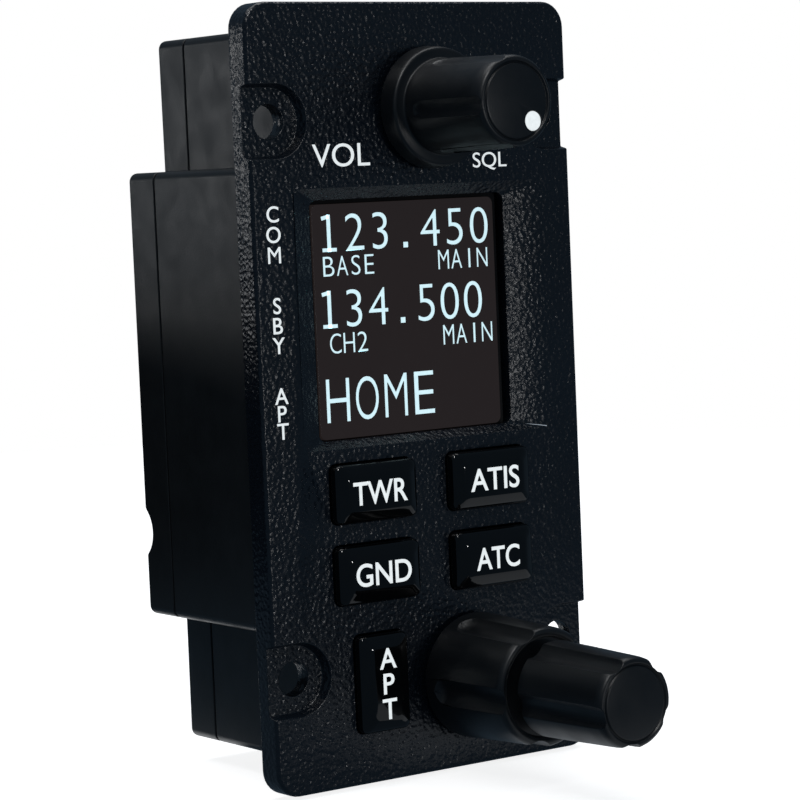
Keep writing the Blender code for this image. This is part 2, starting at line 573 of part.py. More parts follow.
def build_connector():
    """A nine-way trapezoid connector through the rear cover, with its two jack posts."""
    back = CASE_BACK_Y
    flange_y = back - CASE_WALL - REST_GAP
    shell = prism("connector_shell", centred_rect(0, 0, CONNECTOR_W, CONNECTOR_H, 1.0),
                  flange_y - 1.0, flange_y)
    join(shell, prism("connector_collar", shell_outline(0.0), flange_y - 0.5, back + 5.8))
    cut(shell, prism("collar_hollow", shell_outline(0.5), flange_y - 3.0, back + 8.0))
    for side in (-1, 1):
        cut(shell, prism(f"post_hole_{side}", circle(side * JACK_X, 0, JACK_R + 0.1, 16), 15.0, 30.0))
    finish(shell, "steel")
    core = prism("connector_core", shell_outline(0.62), REAR_BOARD_Y + BOARD_T + REST_GAP, back + 5.4)
    pitch, rise, hole_r, hole_depth = 2.77, 1.42, 0.55, 4.0
    for row, count in ((rise, 5), (-rise, 4)):
        for i in range(count):
            x = (i - (count - 1) / 2) * pitch
            cut(core, prism(f"contact_{row}_{i}", circle(x, row, hole_r, 10),
                            back + 5.4 - hole_depth, back + 7.0))
    finish(core, "frame_plastic")
    for side, name in ((-1, "left"), (1, "right")):
        post = prism(f"jack_post_{name}", circle(side * JACK_X, 0, JACK_R, 20), flange_y - 3.0, back + 1.0)
        join(post, prism(f"post_hex_{name}", circle(side * JACK_X, 0, 2.7, 6), back + REST_GAP, back + 5.0))
        cut(post, prism(f"post_bore_{name}", circle(side * JACK_X, 0, 1.1, 16), back + 1.0, back + 7.0))
        finish(post, "steel")


def shell_outline(inset):
    """The connector's trapezoid, wider at the top."""
    w_top, w_low, h = SHELL_W / 2 - inset, SHELL_W / 2 - 1.4 - inset, SHELL_H / 2 - inset
    r = max(2.2 - inset, 0.4)
    return (arc(w_low - r, -h + r, r, -90, -10, 3) + arc(w_top - r, h - r, r, -10, 90, 3)
            + arc(-w_top + r, h - r, r, 90, 190, 3) + arc(-w_low + r, -h + r, r, 190, 270, 3))


CARRIED = {                            # what turns with each knob
    "volume_knob": ("volume_dot", "volume_grub_screw", "volume_shaft"),
    "tuning_outer_knob": ("outer_grub_screw", "tuning_outer_shaft"),
    "tuning_inner_knob": ("inner_grub_screw", "tuning_inner_shaft"),
}


def main():
    for obj in list(bpy.data.objects):
        bpy.data.objects.remove(obj, do_unlink=True)
    build_faceplate()
    build_front_case()
    build_rear_cover()
    build_case_screws()
    build_display()
    build_keys()
    build_volume_control()
    build_tuning_control()
    build_boards()
    build_connector()
    head = bpy.data.objects.new("control_head", None)
    bpy.context.scene.collection.objects.link(head)
    for obj in bpy.data.objects:
        if obj is not head:
            obj.parent = head
    for knob, carried in CARRIED.items():
        for name in carried:
            obj = bpy.data.objects[name]
            obj.parent = bpy.data.objects[knob]
            obj.location -= obj.parent.location


main()
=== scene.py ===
"""Fine model of a panel-mounted radio control head, built as an add-on and run as a script.

Every helper works in millimetres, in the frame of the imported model: +X to the right of the
faceplate, +Z up and +Y into the instrument panel, from the middle of the faceplate's back face.
"""

import json
from math import cos, pi, radians, sin

import bmesh
import bpy
from mathutils import Matrix, Quaternion, Vector


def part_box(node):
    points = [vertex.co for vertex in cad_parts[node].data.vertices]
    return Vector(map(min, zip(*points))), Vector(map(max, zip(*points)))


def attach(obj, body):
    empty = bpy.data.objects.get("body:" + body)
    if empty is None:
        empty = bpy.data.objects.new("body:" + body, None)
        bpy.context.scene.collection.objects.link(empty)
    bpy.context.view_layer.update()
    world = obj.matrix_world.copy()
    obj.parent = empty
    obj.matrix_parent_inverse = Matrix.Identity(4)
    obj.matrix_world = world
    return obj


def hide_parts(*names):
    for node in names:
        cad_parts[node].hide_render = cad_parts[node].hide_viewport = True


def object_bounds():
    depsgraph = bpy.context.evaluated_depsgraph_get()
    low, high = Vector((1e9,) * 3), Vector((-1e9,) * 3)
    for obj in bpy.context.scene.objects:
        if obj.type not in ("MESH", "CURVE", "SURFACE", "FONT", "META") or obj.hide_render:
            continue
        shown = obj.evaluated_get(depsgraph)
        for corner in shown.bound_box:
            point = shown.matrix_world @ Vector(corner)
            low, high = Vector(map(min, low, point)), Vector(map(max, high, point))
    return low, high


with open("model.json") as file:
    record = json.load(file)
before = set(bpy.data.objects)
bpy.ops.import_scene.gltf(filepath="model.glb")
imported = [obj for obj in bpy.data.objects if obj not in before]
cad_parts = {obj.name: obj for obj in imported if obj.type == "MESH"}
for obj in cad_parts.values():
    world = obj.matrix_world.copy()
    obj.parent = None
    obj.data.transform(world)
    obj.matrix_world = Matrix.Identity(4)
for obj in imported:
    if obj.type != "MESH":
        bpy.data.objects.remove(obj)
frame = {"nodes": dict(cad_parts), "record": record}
CAD_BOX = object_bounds()

bl_info = {
    "name": "Radio Control Head",
    "version": (1, 0, 0),
    "blender": (4, 5, 0),
    "location": "3D View > Sidebar > Control Head",
    "description": "Builds a panel-mounted radio control head from its packed frame",
    "category": "Object",
}

MM = 0.001


# ---------- sizes from the frame

def span(node, axis):
    """Lowest and highest place of a frame node along x, y or z, in millimetres."""
    low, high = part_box(node)
    index = "xyz".index(axis)
    return low[index] / MM, high[index] / MM


def middle(node):
    """The centre of a frame node across x and z, in millimetres."""
    return sum(span(node, "x")) / 2, sum(span(node, "z")) / 2


FACE_Y = span("faceplate", "y")[0]
PLATE_X = span("faceplate", "x")[1]
PLATE_Z = span("faceplate", "z")[1]
KEYS = {
    "tower": "TWR",
    "weather": "ATIS",
    "ground": "GND",
    "traffic": "ATC",
    "airport": "APT",
}


# ---------- modelling helpers

def deselect():
    bpy.ops.object.select_all(action="DESELECT")


def only(obj):
    """Makes one object the whole selection."""
    deselect()
    obj.hide_set(False)
    obj.select_set(True)
    bpy.context.view_layer.objects.active = obj
    return obj


def named(name):
    """Names the object an operator has just added, and puts its place into its mesh."""
    obj = bpy.context.active_object
    obj.name = name
    obj.data.name = name
    only(obj)
    bpy.ops.object.transform_apply(location=True, rotation=True, scale=True)
    return obj


def block(name, x, y, z):
    """A box from three (low, high) pairs."""
    deselect()
    centre = [(low + high) / 2 * MM for low, high in (x, y, z)]
    size = [(high - low) * MM for low, high in (x, y, z)]
    bpy.ops.mesh.primitive_cube_add(size=1, location=centre, scale=size)
    return named(name)


def rod(name, x, z, y0, y1, radius, far_radius=None, sides=64):
    """A round or tapered bar along Y."""
    deselect()
    bpy.ops.mesh.primitive_cone_add(
        vertices=sides,
        radius1=radius * MM,
        radius2=(radius if far_radius is None else far_radius) * MM,
        depth=(y1 - y0) * MM,
        location=(x * MM, (y0 + y1) / 2 * MM, z * MM),
        rotation=(-pi / 2, 0, 0),
    )
    return named(name)


def turned(name, x, z, profile, sides=96):
    """A round piece about a Y axis: a circle extruded ring by ring along (y, radius) points.

    A radius of 0 at either end closes the piece at a pole.
    """
    rings = [point for point in profile if point[1] > 0]
    y, r = rings[0]
    deselect()
    bpy.ops.mesh.primitive_circle_add(
        vertices=sides,
        radius=r * MM,
        fill_type="TRIFAN" if profile[0][1] == 0 else "NOTHING",
        location=(x * MM, y * MM, z * MM),
        rotation=(pi / 2, 0, 0),
    )
    obj = named(name)
    pick(obj, "EDGE", lambda edge: len(edge.link_faces) < 2)
    for (y0, r0), (y1, r1) in zip(rings, rings[1:]):
        bpy.ops.mesh.extrude_edges_move(
            TRANSFORM_OT_translate={"value": (0, (y1 - y0) * MM, 0)}
        )
        scale = r1 / r0
        bpy.ops.transform.resize(
            value=(scale, 1, scale), center_override=(x * MM, y1 * MM, z * MM)
        )
    if profile[-1][1] == 0:
        bpy.ops.mesh.edge_face_add()
        bpy.ops.mesh.poke()
    elif profile[0][1] > 0:
        bpy.ops.mesh.select_all(action="DESELECT")
        leave_edit()
        pick(obj, "EDGE", lambda edge: edge.is_boundary)
        bpy.ops.mesh.bridge_edge_loops()
    bpy.ops.mesh.select_all(action="SELECT")
    bpy.ops.mesh.normals_make_consistent(inside=False)
    leave_edit()
    return obj


def pick(obj, kind, test):
    """Enters edit mode with the vertices, edges or faces selected that pass the test."""
    only(obj)
    bpy.ops.object.mode_set(mode="EDIT")
    bpy.ops.mesh.select_mode(type=kind)
    bpy.ops.mesh.select_all(action="DESELECT")
    mesh = bmesh.from_edit_mesh(obj.data)
    items = {"VERT": mesh.verts, "EDGE": mesh.edges, "FACE": mesh.faces}[kind]
    for item in items:
        if test(item):
            item.select_set(True)
    bmesh.update_edit_mesh(obj.data)


def leave_edit():
    bpy.ops.object.mode_set(mode="OBJECT")


def along_y(edge):
    a, b = (vertex.co for vertex in edge.verts)
    return abs(a.x - b.x) + abs(a.z - b.z) < 1e-6 < abs(a.y - b.y)


def lies_at_y(y):
    """A test for edges that lie in the plane at y."""
    return lambda edge: all(abs(v.co.y - y * MM) < 1e-5 for v in edge.verts)


def round_edges(obj, test, radius, segments=5):
    """Bevels the edges that pass the test."""
    pick(obj, "EDGE", test)
    bpy.ops.mesh.bevel(offset=radius * MM, segments=segments, affect="EDGES")
    leave_edit()
    return obj


def modify(obj, kind, **settings):
    """Adds a modifier and applies it."""
    modifier = obj.modifiers.new(kind.lower(), kind)
    for key, value in settings.items():
        setattr(modifier, key, value)
    only(obj)
    bpy.ops.object.modifier_apply(modifier=modifier.name)
    return obj


def combine(obj, operation, tools):
    for tool in tools:
        modify(obj, "BOOLEAN", operation=operation, solver="EXACT", object=tool)
        if len(obj.data.polygons) < 20:
            raise RuntimeError(f"{tool.name} left nothing of {obj.name}")
        bpy.data.objects.remove(tool)
    return obj


def carve(obj, *tools):
    return combine(obj, "DIFFERENCE", tools)


def fuse(obj, *tools):
    return combine(obj, "UNION", tools)


def bore(obj, x, z, y0, y1, radius, sides=32):
    """Drills a round hole along Y."""
    return carve(obj, rod("bore", x, z, y0, y1, radius, None, sides))


def copy_of(obj, name, x=0.0, y=0.0, z=0.0):
    """A copy with its own mesh, moved by some millimetres."""
    only(obj)
    bpy.ops.object.duplicate()
    twin = bpy.context.active_object
    twin.location = (x * MM, y * MM, z * MM)
    return named(name)


def rounded_block(name, x, y, z, radius, segments=5):
    """A box with its four edges along Y rounded."""
    return round_edges(block(name, x, y, z), along_y, radius, segments)


def complete(obj, body, finish, *nodes, soften=0.12, smooth=50):
    """Softens a finished piece's edges, shades and paints it, and hangs it on its body."""
    if soften:
        modify(
            obj,
            "BEVEL",
            width=soften * MM,
            segments=2,
            limit_method="ANGLE",
            angle_limit=radians(32),
            use_clamp_overlap=False,
            miter_outer="MITER_ARC",
        )
    only(obj)
    bpy.ops.object.shade_smooth_by_angle(angle=radians(smooth))
    modify(obj, "WEIGHTED_NORMAL", keep_sharp=True)
    paint(obj, finish)
    if nodes:
        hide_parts(*nodes)
    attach(obj, body)
    return obj


def paint(obj, finish):
    obj.data.materials.clear()
    obj.data.materials.append(finish_material(finish))


# ---------- shader helpers

class Wire:
    """One output of a shader node, so that maths on it reads as ordinary Python."""

    def __init__(self, recipe, socket):
        self.recipe = recipe
        self.socket = socket

    def math(self, operation, first, second):
        values = {0: first, 1: second}
        return self.recipe.add("Math", {"operation": operation}, values)

    def __add__(self, other):
        return self.math("ADD", self, other)

    def __sub__(self, other):
        return self.math("SUBTRACT", self, other)

    def __rsub__(self, other):
        return self.math("SUBTRACT", other, self)

    def __mul__(self, other):
        return self.math("MULTIPLY", self, other)

    __radd__ = __add__
    __rmul__ = __mul__


class Recipe:
    """A procedural finish: add() makes any node, and set() fills the shader's sockets."""

    def __init__(self, name, **sockets):
        self.material = bpy.data.materials.new(name)
        self.material.use_nodes = True
        self.tree = self.material.node_tree
        self.shader = self.tree.nodes["Principled BSDF"]
        place = self.tree.nodes.new("ShaderNodeTexCoord")
        self.place = Wire(self, place.outputs["Object"])
        self.set(**sockets)

    def fill(self, socket, value):
        if isinstance(value, Wire):
            self.tree.links.new(value.socket, socket)
        else:
            socket.default_value = value

    def set(self, **sockets):
        for name, value in sockets.items():
            self.fill(self.shader.inputs[name.replace("_", " ")], value)

    def add(self, kind, settings=None, values=None, output=0):
        """Makes a node: its settings first, then its sockets, and returns one output."""
        node = self.tree.nodes.new("ShaderNode" + kind)
        for key, value in (settings or {}).items():
            setattr(node, key, value)
        for key, value in (values or {}).items():
            self.fill(node.inputs[key], value)
        return Wire(self, node.outputs[output])

    def grain(self, size, detail=2.0):
        """Noise whose features are about size millimetres across."""
        values = {"Vector": self.place, "Scale": 1 / (size * MM), "Detail": detail}
        return self.add("TexNoise", None, values)

    def pebbles(self, size):
        """Distance to the nearest of scattered points about size millimetres apart."""
        values = {"Vector": self.place, "Scale": 1 / (size * MM), "Smoothness": 0.6}
        return self.add("TexVoronoi", {"feature": "SMOOTH_F1"}, values)

    def stretch(self, value, low, high):
        """Maps 0.3..0.7, where noise mostly lies, onto low..high."""
        settings = {"clamp": True}
        values = {0: value, 1: 0.3, 2: 0.7, 3: low, 4: high}
        return self.add("MapRange", settings, values)

    def blend(self, factor, first, second):
        """A colour between two."""
        settings = {"data_type": "RGBA"}
        return self.add("Mix", settings, {0: factor, 6: first, 7: second}, 2)

    def bump(self, height, depth, strength=1.0):
        """A bump whose height 0..1 stands for depth millimetres."""
        values = {"Height": height, "Distance": depth * MM, "Strength": strength}
        return self.add("Bump", None, values)


def shade(colour, factor):
    """A colour made lighter or darker, as four values."""
    return (*[channel * factor for channel in colour[:3]], 1.0)


def peel_finish(name, colour, size, depth, roughness):
    """Painted orange peel: pebbly skin, finer tooth, uneven gloss and a few specks of dust."""
    recipe = Recipe(name, Specular_IOR_Level=0.5)
    tooth = recipe.grain(size * 0.45, 3.0)
    skin = recipe.pebbles(size) * 0.8 + recipe.grain(size * 1.4, 2.0) * 0.6 + tooth * 0.25
    clouds = recipe.stretch(recipe.grain(14.0, 3.0), 0.0, 1.0)
    tone = recipe.blend(clouds, shade(colour, 0.85), shade(colour, 1.15))
    speck, edge = 0.012, 0.030
    clean = recipe.add(
        "MapRange", {"clamp": True}, {0: recipe.pebbles(2.2), 1: speck, 2: edge}
    )
    dust_colour = (0.16, 0.18, 0.20, 1.0)
    recipe.set(
        Base_Color=recipe.blend(1 - clean, tone, dust_colour),
        Roughness=recipe.stretch(tooth, roughness - 0.07, roughness + 0.07),
        Normal=recipe.bump(skin, depth),
    )
    return recipe.material


def moulded_finish(name, colour, roughness, grain=0.25, depth=0.006, spread=0.06):
    """Moulded plastic: a faint skin, cloudy gloss and a little uneven tone."""
    recipe = Recipe(name)
    clouds = recipe.stretch(recipe.grain(9.0, 3.0), 0.0, 1.0)
    skin = recipe.grain(grain, 2.0)
    recipe.set(
        Base_Color=recipe.blend(clouds, shade(colour, 0.88), shade(colour, 1.12)),
        Roughness=recipe.stretch(recipe.grain(3.0, 3.0), roughness - spread, roughness + spread),
        Normal=recipe.bump(skin, depth),
    )
    return recipe.material


def gloss_finish(name, colour, roughness):
    """A clear domed resin over black, with a faint wave and dust-soft patches."""
    recipe = Recipe(name, Coat_Weight=1.0, Coat_Roughness=0.04, Specular_IOR_Level=0.0)
    wave = recipe.grain(5.0, 1.0)
    recipe.set(
        Base_Color=recipe.blend(recipe.grain(2.0), shade(colour, 0.8), shade(colour, 1.2)),
        Roughness=recipe.stretch(recipe.grain(1.2, 4.0), roughness, roughness + 0.05),
        Normal=recipe.bump(wave, 0.02),
    )
    return recipe.material


def pale_glow_finish(name, colour, glow):
    """White print, a touch thinner in places, that stays bright through its glow: painted light on
    the legends, key print and pointer dot, the display's own light on its letters.
    """
    recipe = Recipe(name, Roughness=0.55, Emission_Strength=glow)
    ink = recipe.stretch(recipe.grain(0.5, 3.0), 0.0, 1.0)
    tone = recipe.blend(ink, shade(colour, 0.9), shade(colour, 1.0))
    recipe.set(Base_Color=tone, Emission_Color=tone)
    return recipe.material


def screen_finish(name, colour, glow):
    """The dark face of a lit display, its tone and glow a little uneven."""
    recipe = Recipe(name, Specular_IOR_Level=0.25, Emission_Strength=glow)
    tone = recipe.blend(recipe.grain(18.0, 1.0), shade(colour, 0.92), shade(colour, 1.08))
    recipe.set(
        Base_Color=tone,
        Emission_Color=tone,
        Roughness=recipe.stretch(recipe.grain(2.0, 3.0), 0.16, 0.24),
    )
    return recipe.material


def metal_finish(name, colour, roughness, grain=0.12):
    """Turned or plated metal: fine lines round Y and a little unevenness."""
    recipe = Recipe(name, Metallic=1.0)
    lines = recipe.add(
        "TexWave",
        {"wave_type": "BANDS", "bands_direction": "Y"},
        {
            "Vector": recipe.place,
            "Scale": 1 / (grain * 20 * MM),
            "Distortion": 2.0,
            "Detail": 2.0,
        },
        1,
    )
    wear_and_highlight = recipe.grain(1.5, 4.0)
    recipe.set(
        Base_Color=recipe.blend(wear_and_highlight, shade(colour, 0.85), shade(colour, 1.1)),
        Roughness=recipe.stretch(wear_and_highlight, roughness - 0.08, roughness + 0.08),
        Normal=recipe.bump(lines, 0.003),
    )
    return recipe.material


def board_finish(name, colour):
    """Solder mask over copper tracks, with pale printed patches."""
    recipe = Recipe(name)
    tracks = recipe.add(
        "TexBrick",
        {"offset": 0.5},
        {"Vector": recipe.place, "Scale": 300.0, "Mortar Size": 0.12},
        1,
    )
    recipe.set(
        Base_Color=recipe.blend(tracks, shade(colour, 1.0), shade(colour, 1.7)),
        Roughness=recipe.stretch(recipe.grain(0.8), 0.3, 0.45),
        Normal=recipe.bump(tracks, 0.03),
    )
    return recipe.material


# Each finish: the slot it fills, its maker, its colour or the name of a colour setting, and
# what else the maker takes.
FINISHES = {
    "plate_skin": ("textured_black", peel_finish, "plate", 0.50, 0.10, 0.26),
    "case_skin": ("case_plastic", moulded_finish, "case", 0.42, 0.22, 0.012, 0.05),
    "knob_skin": ("knob_plastic", moulded_finish, "knob", 0.38, 0.18, 0.008, 0.05),
    "key_resin": ("key_gloss", gloss_finish, "key", 0.05),
    # The glow on the key and faceplate print and on the pointer dot is painted light that keeps
    # them bright.
    "key_print": ("key_gloss", pale_glow_finish, "print", 0.9),
    "plate_print": ("textured_black", pale_glow_finish, "print", 0.85),
    "dot_paint": ("dot_white", pale_glow_finish, "print", 0.9),
    "screen_face": ("window_glass", screen_finish, "screen", 0.75),
    "screen_letters": ("window_glass", pale_glow_finish, "letters", 0.9),
    "glass_rim": ("window_glass", moulded_finish, (0.003, 0.003, 0.004), 0.85),
    "panel_face": ("display_black", screen_finish, "screen", 0.2),
    # The pale corner line's glow is a painted highlight.
    "worn_paint": ("textured_black", pale_glow_finish, (0.45, 0.50, 0.55), 0.5),
    "foam": ("rubber_black", moulded_finish, (0.015, 0.015, 0.015), 0.85, 0.4, 0.05),
    "grey_moulding": ("frame_plastic", moulded_finish, (0.035, 0.035, 0.038), 0.5),
    "control_moulding": ("control_body", moulded_finish, (0.10, 0.10, 0.11), 0.5),
    "board_mask": ("circuit_board", board_finish, (0.010, 0.085, 0.040)),
    "plated_steel": ("steel", metal_finish, (0.62, 0.62, 0.64), 0.28),
    "dark_steel": ("black_steel", metal_finish, (0.06, 0.06, 0.065), 0.38),
    "turned_brass": ("brass", metal_finish, (0.75, 0.58, 0.26), 0.30),
}


def finish_material(name):
    """The material of that name, made the first time it is asked for."""
    if name in bpy.data.materials:
        return bpy.data.materials[name]
    slot, maker, tint, *rest = FINISHES[name]
    if isinstance(tint, str):
        tint = getattr(bpy.context.scene.head_colours, tint)
    return maker(name, tint, *rest)


# ---------- settings

def length(label, description, default_mm):
    return bpy.props.FloatProperty(
        name=label, description=description, default=default_mm * MM, min=0.0,
        unit="LENGTH", subtype="DISTANCE", precision=5,
    )


def colour(label, description, value):
    return bpy.props.FloatVectorProperty(
        name=label, description=description, default=value, size=3,
        min=0.0, max=1.0, subtype="COLOR",
    )


class HeadPlateSettings(bpy.types.PropertyGroup):
    corner: length("Corner radius", "Radius of the faceplate's corners", 3.0)
    edge: length("Edge radius", "Radius of the faceplate's front edge", 0.5)
    pocket: length("Pocket radius", "Radius of the half-round screw pockets", 4.25)
    pocket_depth: length("Pocket depth", "Depth of the half-round screw pockets", 1.4)
    hole: length("Hole radius", "Radius of the mounting holes", 2.0)
    recess_depth: length("Recess depth", "Depth of the display recess", 1.3)


class HeadKeySettings(bpy.types.PropertyGroup):
    corner: length("Key corner", "Radius of a key's corners", 0.8)
    wall: length("Key wall", "Height of a key's upright wall above the plate", 0.90)
    crown: length("Key crown", "Height of a key's flat top above the plate", 1.85)
    hip: length("Hip width", "Width of the curved band round a key's flat top", 1.75)


class HeadScreenSettings(bpy.types.PropertyGroup):
    active: bpy.props.StringProperty(
        name="Active frequency", description="Upper line of the display", default="123.450"
    )
    standby: bpy.props.StringProperty(
        name="Standby frequency", description="Middle line of the display", default="134.500"
    )
    place: bpy.props.StringProperty(
        name="Place", description="Large word at the foot of the display", default="HOME"
    )


class HeadColourSettings(bpy.types.PropertyGroup):
    plate: colour("Faceplate", "Painted faceplate", (0.0075, 0.0120, 0.0190))
    case: colour("Case", "Moulded case and cover", (0.0150, 0.0165, 0.0180))
    knob: colour("Knobs", "Moulded knobs", (0.0070, 0.0085, 0.0105))
    key: colour("Keys", "Domed keys", (0.0030, 0.0030, 0.0032))
    print: colour("Print", "Printed legends and pointer dot", (0.80, 0.84, 0.84))
    screen: colour("Screen", "Dark face of the display", (0.0190, 0.0143, 0.0140))
    letters: colour("Letters", "Lit letters on the display", (0.66, 0.88, 0.93))


class HeadStageSettings(bpy.types.PropertyGroup):
    lens: bpy.props.FloatProperty(
        name="Lens", description="Focal length of the camera", default=132.4, unit="CAMERA"
    )
    roll: bpy.props.FloatProperty(
        name="Roll", description="Turn of the camera about its line of sight",
        default=radians(-2.46), subtype="ANGLE", unit="ROTATION",
    )
    floor: colour("Floor", "Plain pale floor", (0.86, 0.86, 0.86))


# ---------- faceplate

# Places as a (low, high) pair across x and another across z, then sizes in millimetres.
WINDOW = ((-14.3, 13.45), (-5.0, 22.6))
GLASS = ((-14.0, 12.05), (-4.85, 22.15))
GLASS_RIM = ((-14.95, 13.15), (-5.55, 22.9))
REBATE = ((-15.1, 13.3), (-5.7, 23.05))
RECESS = ((-17.3, 18.1), (-5.9, 24.0))
MOUNT_X, MOUNT_Z = 19.3, 31.7
SEAT = 0.3
KEY_GAP = 0.12
SHAFT_HOLES = (("volume_shaft", 3.35), ("tuning_inner_shaft", 4.05))


def recess_cutter(depth):
    """The sloping recess: a box whose far end shrinks to the window."""
    tool = block("recess", RECESS[0], (FACE_Y, FACE_Y + depth), RECESS[1])
    pick(tool, "FACE", lambda face: face.normal.y > 0.9)
    shrink_x, shrink_z = (
        (inner[1] - inner[0]) / (outer[1] - outer[0]) for inner, outer in zip(WINDOW, RECESS)
    )
    centre_x, centre_z = (sum(outer) / 2 * MM for outer in RECESS)
    shift_x, shift_z = (
        (sum(inner) - sum(outer)) / 2 * MM for inner, outer in zip(WINDOW, RECESS)
    )
    bpy.ops.transform.resize(
        value=(shrink_x, 1, shrink_z), center_override=(centre_x, (FACE_Y + depth) * MM, centre_z)
    )
    bpy.ops.transform.translate(value=(shift_x, 0, shift_z))
    leave_edit()
    near, far = lies_at_y(FACE_Y), lies_at_y(FACE_Y + depth)
    round_edges(tool, lambda edge: not near(edge) and not far(edge), 0.5, 3)
    pick(tool, "FACE", lambda face: face.normal.y < -0.9)
    bpy.ops.mesh.extrude_region_move(TRANSFORM_OT_translate={"value": (0, -MM, 0)})
    leave_edit()
    return tool


def pocket_cutter(side_x, side_z, radius, depth):
    """A round pocket drawn out to the plate's side edge."""
    x, z = side_x * MOUNT_X, side_z * MOUNT_Z
    tool = rod("pocket", x, z, FACE_Y - 1.0, FACE_Y + depth, radius + 0.25, radius - 0.35, 96)
    pick(tool, "VERT", lambda vertex: side_x * vertex.co.x > (MOUNT_X + 0.01) * MM)
    bpy.ops.transform.translate(value=(side_x * 6 * MM, 0, 0))
    leave_edit()
    return tool


def grown(pair, amount):
    """A (low, high) pair moved apart by an amount at both ends."""
    return pair[0] - amount, pair[1] + amount


def around(centre, half):
    """The (low, high) pair that reaches half to both sides of a centre."""
    return centre - half, centre + half


class HEAD_OT_faceplate(bpy.types.Operator):
    """Builds the faceplate with its recess, pockets, holes and key openings"""
    bl_idname = "head.faceplate"
    bl_label = "Faceplate"

    def execute(self, context):
        s = context.scene.head_plate
        back = 0.0
        plate = rounded_block(
            "faceplate_body",
            (-PLATE_X, PLATE_X), (FACE_Y, back), (-PLATE_Z, PLATE_Z),
            s.corner / MM, 8,
        )
        round_edges(plate, lies_at_y(FACE_Y), s.edge / MM, 4)
        round_edges(plate, lies_at_y(back), 0.25, 2)
        for x, z in CASE_STEPS:
            carve(plate, block("seat", grown(x, SEAT), (-SEAT, 1.0), grown(z, SEAT)))
        depth = s.recess_depth / MM
        carve(plate, recess_cutter(depth))
        opening = rounded_block("opening", WINDOW[0], (FACE_Y + 0.5, 1.0), WINDOW[1], 0.9)
        rebate = block("rebate", REBATE[0], (FACE_Y + depth + 0.8, 1.0), REBATE[1])
        carve(plate, opening, rebate)
        for side_x in (-1, 1):
            for side_z in (-1, 1):
                x, z = side_x * MOUNT_X, side_z * MOUNT_Z
                carve(
                    plate,
                    pocket_cutter(side_x, side_z, s.pocket / MM, s.pocket_depth / MM),
                    rod("hole", x, z, FACE_Y - 1, 1.0, s.hole / MM),
                )
        for key in KEYS:
            x, z, w, h = key_place(key)
            wide, tall = around(x, w / 2 + KEY_GAP), around(z, h / 2 + KEY_GAP)
            carve(plate, rounded_block("slot", wide, (FACE_Y - 1, 1.0), tall, 0.9, 4))
        for shaft, radius in SHAFT_HOLES:
            x, z = middle(shaft)
            bore(plate, x, z, FACE_Y - 1, 1.0, radius, 48)
        complete(plate, "housing", "plate_skin", "faceplate", soften=0.1)
        # A pale, glowing rod along the recess's lower right corner crease: a painted highlight.
        wear_and_highlight = self.painted_highlight_line(
            Vector((WINDOW[0][1] - 0.1, FACE_Y + depth - 0.03, WINDOW[1][0] + 0.05)),
            Vector((RECESS[0][1] - 0.25, FACE_Y + 0.03, RECESS[1][0] + 0.2)),
        )
        complete(wear_and_highlight, "housing", "worn_paint", soften=0)
        return {"FINISHED"}

    def painted_highlight_line(self, start, end):
        """A thin, pale rod along a corner of the recess, which glows: a painted highlight along
        the crease.
        """
        deselect()
        line = end - start
        bpy.ops.mesh.primitive_cylinder_add(
            vertices=12, radius=0.07 * MM, depth=line.length * MM,
            location=(start + end) / 2 * MM, rotation=line.to_track_quat("Z", "Y").to_euler(),
        )
        return named("worn_corner")


def key_place(key):
    """Centre and size of a key's cap across x and z."""
    x, z = middle(f"{key}_key")
    w, h = (high - low - 2 * FLANGE for low, high in (span(f"{key}_key", axis) for axis in "xz"))
    return x, z, w, h


# ---------- case and cover

SEAM = 20.5
SEAM_GAP = 0.3
CASE_WALL, COVER_WALL = 1.6, 2.2
LIP_INSET = 1.75
INNER_CORNER = 0.5
POST_X = 12.5
CASE_STEPS = (((-21.0, 21.0), (-26.7, 26.7)), ((-16.0, 16.0), (-42.5, 42.5)))


def stepped_body(name, y0, y1, inset=0.0, rounding=1.0, rim=0.0):
    """The case's outline, wide in the middle and narrow at its ends, between two depths.

    Its outer corners are rounded, and so is the rim round its far face if a radius is given.
    """
    parts = [
        block(name, grown(x, -inset), (y0, y1), grown(z, -inset)) for x, z in CASE_STEPS
    ]
    body = fuse(parts[0], parts[1])
    only(body)
    bpy.ops.object.mode_set(mode="EDIT")
    bpy.ops.mesh.select_all(action="SELECT")
    bpy.ops.mesh.dissolve_limited(angle_limit=radians(1))
    leave_edit()
    round_edges(body, lambda edge: along_y(edge) and edge.is_convex, rounding, 5)
    if rim:
        round_edges(body, lies_at_y(y1), rim, 5)
    return body


